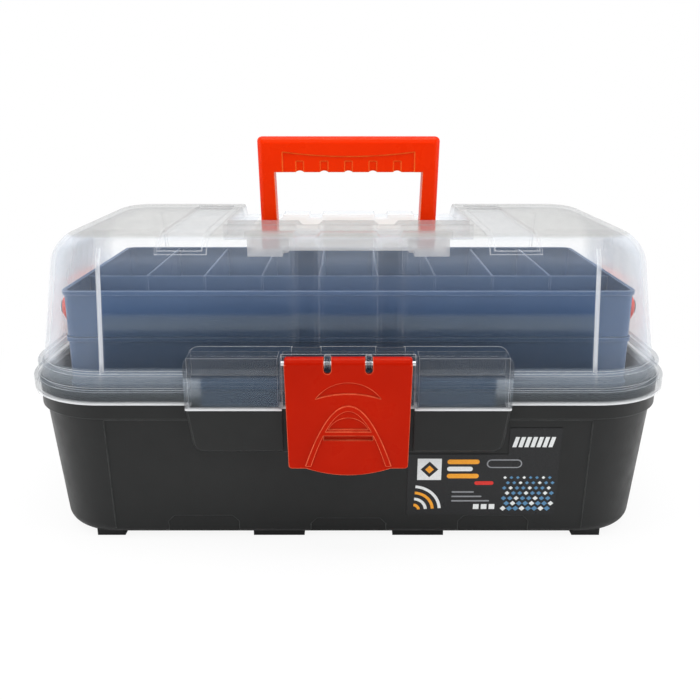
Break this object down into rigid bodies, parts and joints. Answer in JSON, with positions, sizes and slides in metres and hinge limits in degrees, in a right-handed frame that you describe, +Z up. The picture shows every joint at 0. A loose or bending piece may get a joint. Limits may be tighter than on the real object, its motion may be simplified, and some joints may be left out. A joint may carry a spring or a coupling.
{
  "type": "tackle box",
  "caption": "Cantilever tackle box: dark tub, clear hinged lid, stepped trays on swing arms, folding carry handle and snap latch.",
  "frame": {"origin": "on the floor under the middle of the closed box, midway between its ends and between the latch and the hinge knuckles", "axes": "+Z up, +X to the right seen from the latch side, the latch faces -Y"},
  "size_m": [0.406, 0.2344, 0.248],
  "materials": {
    "dark_tub": "fine-textured charcoal polypropylene",
    "clear_lid": "clear frosted polypropylene",
    "blue_tray": "slate-blue polypropylene",
    "steel_pin": "bright wire",
    "orange_handle": "satin orange plastic",
    "orange_latch": "satin orange plastic",
    "dark_stud": "moulded plastic",
    "orange_arm": "moulded orange plastic",
    "label_film": "printed film"
  },
  "bodies": {
    "tub": {"tub": "dark_tub", "front_label": "label_film", "front_arm_pin_left": "dark_stud", "front_arm_pin_right": "dark_stud", "hinge_pin_left": "steel_pin", "hinge_pin_right": "steel_pin", "rear_arm_pin_left": "dark_stud", "rear_arm_pin_right": "dark_stud"},
    "lid": {"lid": "clear_lid", "lid_link_pin_left": "steel_pin", "lid_link_pin_right": "steel_pin"},
    "handle": {"handle": "orange_handle", "handle_pin_left": "steel_pin", "handle_pin_right": "steel_pin"},
    "latch": {"latch": "orange_latch", "latch_pin": "steel_pin"},
    "front_arms": {"front_arm_left": "orange_arm", "front_arm_right": "orange_arm"},
    "rear_arms": {"rear_arm_left": "orange_arm", "rear_arm_right": "orange_arm"},
    "lid_links": {"lid_link_left": "orange_arm", "lid_link_right": "orange_arm"},
    "tray_top": {"tray_top": "blue_tray", "tray_top_heads": "dark_stud"},
    "tray_middle": {"tray_middle": "blue_tray", "tray_middle_heads": "dark_stud"},
    "tray_bottom": {"tray_bottom": "blue_tray", "tray_bottom_heads": "dark_stud"}
  },
  "joints": [
    {"name": "lid_hinge", "type": "hinge", "parent": "tub", "child": "lid", "pos_m": [0, 0.1122, 0.098], "axis": [-1, 0, 0], "range_deg": [0, 105]},
    {"name": "handle_pivot", "type": "hinge", "parent": "lid", "child": "handle", "pos_m": [0, -0.0078, 0.181], "axis": [-1, 0, 0], "range_deg": [0, 90]},
    {"name": "latch_hinge", "type": "hinge", "parent": "lid", "child": "latch", "pos_m": [0, -0.1123, 0.126], "axis": [-1, 0, 0], "range_deg": [0, 100]},
    {"name": "front_arm_swing", "type": "hinge", "parent": "tub", "child": "front_arms", "pos_m": [0, 0.01521, 0.079], "axis": [-1, 0, 0], "range_deg": [0, 63]},
    {"name": "rear_arm_swing", "type": "hinge", "parent": "tub", "child": "rear_arms", "pos_m": [0, 0.06121, 0.079], "axis": [-1, 0, 0], "range_deg": [0, 63]},
    {"name": "lid_link_swing", "type": "hinge", "parent": "lid", "child": "lid_links", "pos_m": [0, -0.00769, 0.1475], "axis": [-1, 0, 0], "range_deg": [0, 39.9]},
    {"name": "tray_top_level", "type": "hinge", "parent": "front_arms", "child": "tray_top", "pos_m": [0, -0.05279, 0.145], "axis": [-1, 0, 0], "range_deg": [-63, 0]},
    {"name": "tray_middle_level", "type": "hinge", "parent": "front_arms", "child": "tray_middle", "pos_m": [0, -0.0226, 0.1157], "axis": [-1, 0, 0], "range_deg": [-63, 0]},
    {"name": "tray_bottom_level", "type": "hinge", "parent": "front_arms", "child": "tray_bottom", "pos_m": [0, 0.00758, 0.0864], "axis": [-1, 0, 0], "range_deg": [-63, 0]}
  ],
  "couplings": [
    {"joint": "front_arm_swing", "follows": "lid_hinge", "ratio": 0.6},
    {"joint": "rear_arm_swing", "follows": "lid_hinge", "ratio": 0.6},
    {"joint": "lid_link_swing", "follows": "lid_hinge", "ratio": 0.38},
    {"joint": "tray_top_level", "follows": "lid_hinge", "ratio": -0.6},
    {"joint": "tray_middle_level", "follows": "lid_hinge", "ratio": -0.6},
    {"joint": "tray_bottom_level", "follows": "lid_hinge", "ratio": -0.6}
  ]
}
